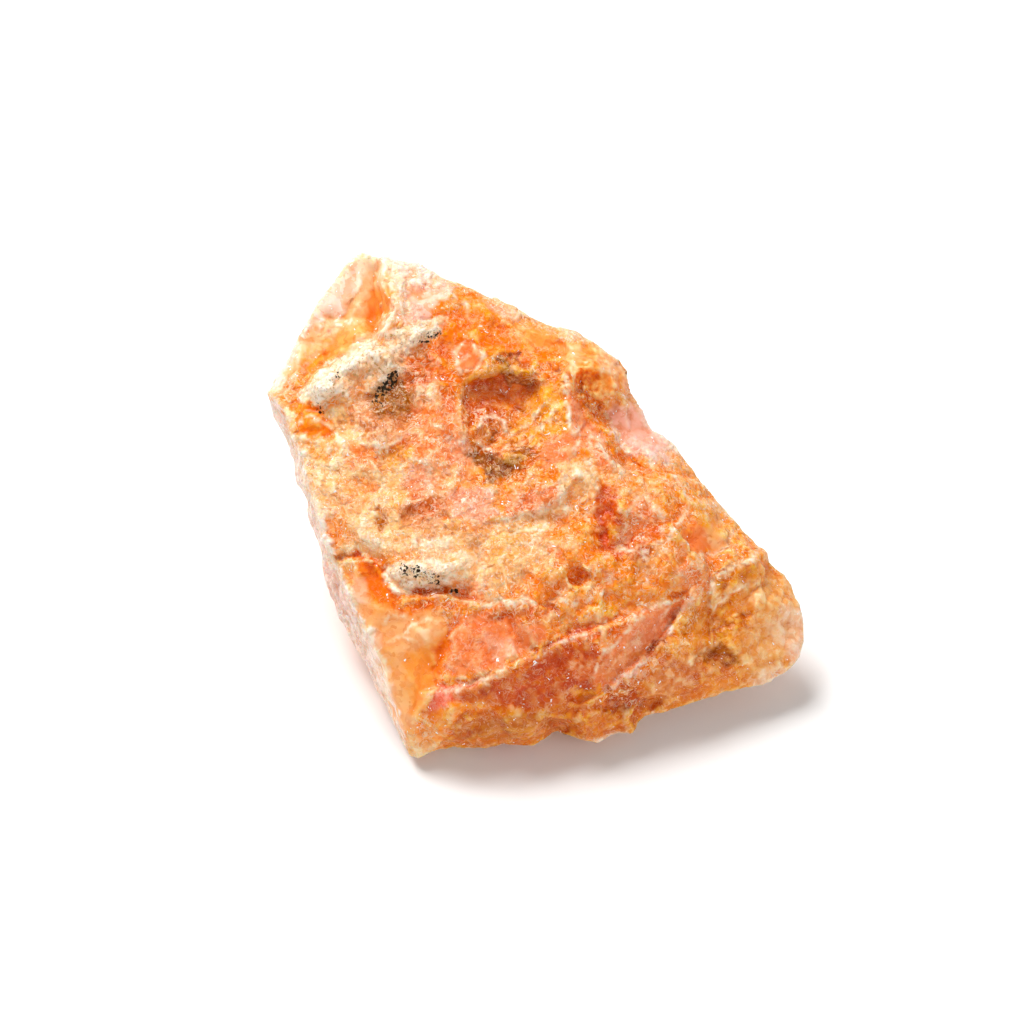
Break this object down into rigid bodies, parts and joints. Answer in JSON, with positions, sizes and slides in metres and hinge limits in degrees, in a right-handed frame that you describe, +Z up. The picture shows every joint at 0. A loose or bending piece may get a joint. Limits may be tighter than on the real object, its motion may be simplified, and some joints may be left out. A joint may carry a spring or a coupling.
{
  "type": "rough pink opal",
  "caption": "Wedge-shaped broken lump of rough pink opal with chipped faces, hollows and raised pale crusts, resting on a small flat spot.",
  "frame": {"origin": "middle of the stone's box, on the plane of the flat foot it rests on", "axes": "+Z up from the foot, +X along the longer side towards the low honey-coloured tip, +Y towards the high rear"},
  "size_m": [0.0408, 0.034, 0.022],
  "materials": {
    "opal": "waxy, slightly translucent, rough broken skin"
  },
  "bodies": {
    "root": {"opal_stone": "opal"}
  },
  "joints": []
}
